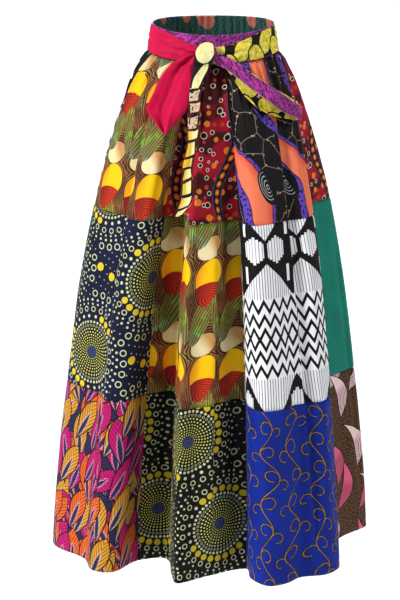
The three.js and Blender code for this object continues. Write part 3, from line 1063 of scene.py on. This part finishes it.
PLACES = column_places()
ROUND = np.append(PLACES, len(FOLDS))
waist_angles = [row[0] for row in FOLDS] + [FOLDS[0][0] + 360]
WAIST_ANGLE = np.interp(PLACES, np.arange(len(FOLDS) + 1), waist_angles)
SEAM_ROWS = [row for row, fold in enumerate(FOLDS) if len(fold) > 3]
SEAM_COLUMNS = [int(np.flatnonzero(PLACES == row)[0]) for row in SEAM_ROWS]


def line_down(around, along, top_place, foot_place):
    """How far round each row a line lies that runs from one place at its top to another at its foot."""
    places = top_place + (foot_place - top_place) * along
    return np.array([[np.interp(place, ROUND, row)] for place, row in zip(places, around)])


def crease_shift(drops, around):
    """How far the listed creases move the cloth outwards, for each row and column."""
    rounds = around[:, -1:]
    shift = np.zeros_like(around[:, :-1])
    for top_place, foot_place, top, foot, before, after, depth in CREASES:
        along = (drops - top) / (foot - top)
        ends = np.minimum(along, 1 - along) if foot < HEM_OPEN else along
        fade = smooth_edge(1 - ends / CREASE_END, 1)
        middle = line_down(around, np.clip(along, 0, 1), top_place, foot_place)
        away = (around[:, :-1] - middle + rounds / 2) % rounds - rounds / 2
        t = np.clip(1 - (away / np.where(away < 0, before, after)) ** 2, 0, 1)
        shift -= depth * fade[:, None] * t * t
    return shift


def pleated(letter, drops, run, around):
    """How much hidden cloth lies between the start of each row and each of its points."""
    if letter not in PLEATS:
        return 0
    top_place, foot_place, most_hidden, opened, begins, ends = PLEATS[letter]
    along = (drops - BAND_DROP) / (SKIRT_LENGTH - BAND_DROP)
    middle = line_down(around, along, top_place, foot_place)
    hidden = most_hidden * np.clip((opened - drops) / (opened - BAND_DROP), 0, 1)
    return hidden[:, None] * np.clip((run - middle - begins) / (ends - begins), 0, 1)


def skirt_rows(drops):
    """The skirt's surface without and with its gathers, at those drops, all the way round."""
    plain, shaped = [], []
    gathers = read(LEVELS[:, 0], LEVELS[:, 2], drops)
    turn = np.radians(WAIST_ANGLE)
    uneven = noise_at(60 * np.stack([np.cos(turn), np.sin(turn), 0 * turn], axis=1), 22, 4.7)
    for drop, gather, flare in zip(drops, gathers, flare_at(drops)):
        flat = outline(WAIST_CONTROL * (1 - flare) + HEM_CONTROL * flare, PLACES)
        across = np.roll(flat, -1, axis=0) - np.roll(flat, 1, axis=0)
        out = np.stack([across[:, 1], -across[:, 0]], axis=1)
        out /= np.linalg.norm(out, axis=1, keepdims=True)
        plain.append(np.column_stack([flat, height_at(drop, flat[:, 1])]))
        wave = np.sin(2 * np.pi * WAIST_ANGLE / GATHER_PITCH + uneven * 1.1)
        flat = flat + out * (max(gather, 0) * wave * (1 + 0.5 * uneven))[:, None]
        shaped.append(np.column_stack([flat, height_at(drop, flat[:, 1])]))
    return np.array(plain), np.array(shaped)


def tier_shift(tier, drops, shaped, down, around):
    """How far the creases, the seams and the hem move one tier's cloth outwards."""
    creases = wrinkled(shaped, "long") + wrinkled(shaped, "small")
    if tier == "top":
        creases += wrinkled(shaped, "under_band") * smooth_edge(down, 260)
        creases *= 1 - 0.7 * smooth_edge(down, 25)
    above_foot = down[-1] - down
    to_edge = np.minimum(down, above_foot)
    pucker = wrinkled(shaped, "tier_seam") * smooth_edge(to_edge, PUCKER_REACH[0])
    if tier == "low":
        ditch = smooth_edge(down, SEAM_DITCH[1])
        ditch += 0.45 * smooth_edge(np.abs(above_foot - HEM_STITCHES), 2.5)
    else:
        ditch = smooth_edge(to_edge, SEAM_DITCH[1])
    fine = wrinkled(shaped, "column_seam")
    for column in SEAM_COLUMNS:
        beside = np.abs(around[:, :-1] - around[:, column : column + 1])
        beside = np.minimum(beside, around[:, -1:] - beside)
        ditch = np.maximum(ditch, smooth_edge(beside, SEAM_DITCH[1]))
        pucker += fine * smooth_edge(beside, PUCKER_REACH[1])
    return creases + pucker - SEAM_DITCH[0] * np.clip(ditch, 0, 1) + crease_shift(drops, around)


def draw_in(grid):
    """Draws the edges of a piece of cloth in by half of the seam's gap."""
    for table in (grid, grid.swapaxes(0, 1)):
        for edge, beside in ((0, 1), (-1, -2)):
            way = table[beside] - table[edge]
            length = np.maximum(np.linalg.norm(way, axis=-1, keepdims=True), 1e-9)
            table[edge] += way * (SEAM_GAP / 2 / length)


def build_tier(tier):
    """The patches of one tier: one surface all round the skirt, creased, then cut along the seams."""
    top, foot = TIERS[tier]
    drops = np.linspace(top, foot, int((foot - top) / ROW_STEP) + 1)
    plain, shaped = skirt_rows(drops)
    down = lengths_along(plain, 0)
    around = lengths_along(np.concatenate([plain, plain[:, :1]], axis=1), 1)
    shift = tier_shift(tier, drops, shaped, down, around)
    surface = shaped + normals_of(shaped, closed=True) * shift[..., None]
    normals = normals_of(surface, closed=True)
    ends = SEAM_COLUMNS[1:] + [len(PLACES)]
    for row, first, last in zip(SEAM_ROWS, SEAM_COLUMNS, ends):
        letter = FOLDS[row][3]
        columns = np.arange(first, last + 1)
        grid, out, below = (table[:, columns % len(PLACES)] for table in (surface, normals, down))
        draw_in(grid)
        ink, shift_u, shift_v = PATCHES[letter][list(TIERS).index(tier)]
        run = around[:, columns]
        across = run - (run[:, :1] + run[:, -1:]) / 2 + shift_u + pleated(letter, drops, run, around)
        uv = np.stack([across, below + shift_v], axis=-1)
        outer, inner = np.full((2, *run.shape), CLOTH / 2)
        if tier == "low":
            inner += HEM_EXTRA * (below[-1] - below < HEM_FOLD)
        sew(f"patch_{letter}_{tier}", f"panel_{letter}_{tier}", grid, out, (outer, inner), uv, (ink,))
    if tier == "low":
        from_stitches = np.abs(down[-1] - down - HEM_STITCHES)
        row = np.argmin(from_stitches.mean(axis=1))
        path, out = (np.concatenate([table[row], table[row, :1]]) for table in (surface, normals))
        stitch_row("hem_stitches", path + out * (CLOTH / 2 + STITCH_PROUD[0]), out)


for tier_name in TIERS:
    build_tier(tier_name)


# ---------------------------------------------------------------- waistband and sash
def doubled_wall(grid, t):
    """Half the thickness of doubled cloth, thinner at its two folded edges, where t is 0 and 1."""
    half = np.full(grid.shape[:2], SASH_WALL / 2 - 0.2)
    half *= 1 - 0.35 * smooth_edge(np.minimum(t, 1 - t) * 40, 2.0)
    return half, half


def band(name, node, start, end, ripple, ink):
    """One half of the waistband. The back half is ruched by the elastic inside it."""
    angles = np.linspace(start, end, int((end - start) * 2.4) + 1)
    drops = np.linspace(-BAND_DROP, BAND_DROP - SEAM_GAP / 2, 19)
    calm = np.minimum(1, np.minimum(angles - start, end - angles) / 7)
    phase = noise_at(np.column_stack([angles, 0 * angles, 0 * angles]), 9, 3.1)
    wave = ripple * calm * np.sin(2 * np.pi * angles / GATHER_PITCH + 1.3 * phase)
    grid = oval_point(angles[None], drops[:, None], wave[None])
    creases = wrinkled(grid, "ruched_band" if ripple else "band")
    across = lengths_along(grid, 0)
    edge = np.minimum(across, across[-1] - across)
    rows = smooth_edge(np.abs(edge - 4), 2.2) * 0.5
    if ripple:
        rows = rows + smooth_edge(np.abs(edge - 19), 2.0) * 0.5
    grid = grid + normals_of(grid) * (creases - rows)[..., None]
    draw_in(grid)
    normals = normals_of(grid)
    half = np.full(grid.shape[:2], BAND_WALL / 2 - 0.15)
    uv = np.stack([lengths_along(grid, 1), across], axis=-1)
    held, stitched = ("gathered", (1, 9, 17)) if ripple else ("stretched", (1, 17))
    sew(name, node, grid, normals, (half, half), uv, (ink,), stitched)


def sash(name, node, side, ink):
    """One side of the sash, from its side seam to the knot, with drag lines towards the knot."""
    angles, tops = (np.array(column, float) for column in zip(*SASH_EDGES[side]))
    turns = np.abs(angles - angles[0])
    turn = np.linspace(0, turns[-1], 131)
    if side > 0:
        turn = turn[::-1]
    angle = angles[0] - side * turn
    top = read(turns, tops, turn)
    t = np.linspace(0, 1, 33)[:, None]
    stand = BAND_WALL / 2 + SEAM_GAP + SASH_WALL / 2
    near_knot = turn[None] / turns[-1]
    folds = 0.7 * np.sin(np.pi * t) * (1 + np.sin(turn / 9)[None])
    drag = 1.9 * near_knot**1.5 * np.sin(np.pi * t) * (1 + np.cos(2 * np.pi * 2.5 * t + 2 * near_knot))
    grid = oval_point(angle[None], top[None] + (SASH_FOOT - top[None]) * t, stand + folds + drag)
    creases = wrinkled(grid, "left_sash" if side < 0 else "right_sash")
    grid = grid + normals_of(grid) * creases[..., None]
    draw_in(grid)
    uv = np.stack([lengths_along(grid, 1), lengths_along(grid, 0)], axis=-1)
    sew(name, node, grid, normals_of(grid), doubled_wall(grid, t), uv, (ink,))


band("waistband_front_cloth", "waistband_front", -90, 90, 0, "orchid")
band("waistband_back_cloth", "waistband_back", 90, 270, 1.1, "forest")
sash("sash_left_cloth", "sash_left", -1, "pink")
sash("sash_right_cloth", "sash_right", 1, "shell")


# ---------------------------------------------------------------- the bow
def ribbon(name, node, rows, pleats, depth, inks, steps_per_row=12, across=28, square=0, swell=0):
    """A ribbon through its rows of edge points, folded into soft pleats along its length.

    Only the short tail has square rows: its last rows, joined by straight lines. It has TAIL_FOLD too.
    """
    table = np.array(rows, float)
    places = np.arange(len(rows))
    at = np.linspace(0, len(rows) - 1, (len(rows) - 1) * steps_per_row + 1)
    edges = [read(places, table[:, k], at)[:, None] for k in range(5)]
    t = np.linspace(0, 1, across + 1)[None]
    opened = np.minimum(1, at / 2)[:, None]
    fold = depth * opened * np.sin(np.pi * t) * np.cos(2 * np.pi * pleats * t)
    if square:
        end = np.clip(at - (len(rows) - 1 - square), 0, 1)[:, None]
        for k in range(4):
            edges[k] += (np.interp(at, places, table[:, k])[:, None] - edges[k]) * end
        flank = TAIL_FLANK[0] + (TAIL_FLANK[1] - TAIL_FLANK[0]) * (at / at[-1])[:, None]
        shares, stands = zip(*TAIL_FOLD)
        fold += opened * (read(shares, stands, t - flank) + swell * np.sin(np.pi * t) ** 2)
    xa, drop_a, xb, drop_b, stand = edges
    grid = standing_point(xa + (xb - xa) * t, drop_a + (drop_b - drop_a) * t, stand + fold)
    grid = grid + normals_of(grid) * wrinkled(grid, "bow")[..., None]
    run = lengths_along(grid, 1)
    uv = np.stack([run - run[:, -1:] / 2, lengths_along(grid, 0)], axis=-1)
    sew(name, node, grid, normals_of(grid), doubled_wall(grid, t), uv, inks)


def knot():
    """The knot: a lump with creases that wind round it."""
    steps, rings = 72, 40
    around = np.linspace(0, 2 * np.pi, steps, endpoint=False)[None]
    tall = np.linspace(0, np.pi, rings)[:, None]
    x, y, z = np.sin(tall) * np.sin(around), -np.sin(tall) * np.cos(around), np.cos(tall) + 0 * around
    winding = np.cos(KNOT["creases"] * np.arctan2(x, z) + 1.5 * y)
    swell = 1 - KNOT["depth"] * np.abs(winding) ** 3
    stand = BAND_WALL / 2 + 2 * SEAM_GAP + SASH_WALL + KNOT["stand"]
    centre = standing_point(KNOT["x"], KNOT["drop"], stand)
    points = np.stack([x, y, z], axis=-1) * np.array(KNOT["half"]) * swell[..., None] + centre
    index = np.arange(rings * steps).reshape(rings, steps)
    right = np.roll(index, -1, axis=1)
    faces = quads_between(index[:-1], index[1:], right[1:], right[:-1])
    uv = np.stack([around * 19 + 0 * tall, tall * 22 + 0 * around], axis=-1)
    piece = make_mesh("knot_cloth", points.reshape(-1, 3), faces, uv.reshape(-1, 2))
    piece.data.materials.append(INKS["orchid"])
    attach(piece, "root")
    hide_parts("bow_knot")


ribbon("short_tail_cloth", "tail_short", SHORT_TAIL, 3.5, 0.8, ("pink", "pink"), 18, 48, 2, 3)
ribbon("long_tail_cloth", "tail_long", LONG_TAIL, 0.5, 2, ("chain", "chain"))
ribbon("loop_cloth", "bow_loop", BOW_LOOP, 0.5, 1.5, ("orchid", "shell"))
knot()

# ---------------------------------------------------------------- floor, light and camera
FLOOR = -1.30
FLOOR_HALF = 40
FLOOR_GLOW = 0.92
SKY_GLOW = 0.16
GAMMA = 0.88
CAMERA_PLACE = (-0.025, -3.39, 0.383)
CAMERA_PITCH = 14.87
FOCAL_PIXELS = 1762
SENSOR, IMAGE_HEIGHT = 36, 600
LAMPS = [
    # name, place, strength, angle across in degrees
    ("key", (-3.5, -2.0, 2.7), 4.2, 12),
    ("fill", (3.5, -2.0, 2.4), 1.7, 14),
    ("rear", (0.8, 3.5, 2.4), 2.0, 20),
]


def add_floor():
    mesh = bpy.data.meshes.new("floor")
    corners = [(x * FLOOR_HALF, y * FLOOR_HALF, FLOOR) for x, y in ((-1, -1), (1, -1), (1, 1), (-1, 1))]
    mesh.from_pydata(corners, [], [(0, 1, 2, 3)])
    material, shader = new_material("floor")
    feed(shader, {"Base Color": (0.15, 0.15, 0.15, 1), "Roughness": 0.9})
    feed(shader, {"Emission Color": (1, 1, 1, 1), "Emission Strength": FLOOR_GLOW})
    mesh.materials.append(material)
    in_scene("floor", mesh)


def add_lamp(name, place, strength, angle):
    """A soft sun that shines from its place towards 0, 0, 0."""
    light = bpy.data.lights.new(name, "SUN")
    light.energy = strength
    light.angle = math.radians(angle)
    lamp = in_scene(name, light)
    lamp.location = place
    lamp.rotation_euler = (-Vector(place)).to_track_quat("-Z", "Y").to_euler()


add_floor()
for lamp_row in LAMPS:
    add_lamp(*lamp_row)
scene = bpy.context.scene
scene.world = bpy.data.worlds.new("studio")
scene.world.use_nodes = True
background = scene.world.node_tree.nodes["Background"]
background.inputs[0].default_value = (1, 1, 1, 1)
background.inputs[1].default_value = SKY_GLOW
scene.view_settings.view_transform = "Standard"
scene.view_settings.gamma = GAMMA

scene.camera = in_scene("camera", bpy.data.cameras.new("camera"))
scene.camera.data.sensor_width = SENSOR
scene.camera.data.lens = FOCAL_PIXELS / IMAGE_HEIGHT * SENSOR
scene.camera.location = CAMERA_PLACE
scene.camera.rotation_euler = (math.radians(90 - CAMERA_PITCH), 0, 0)
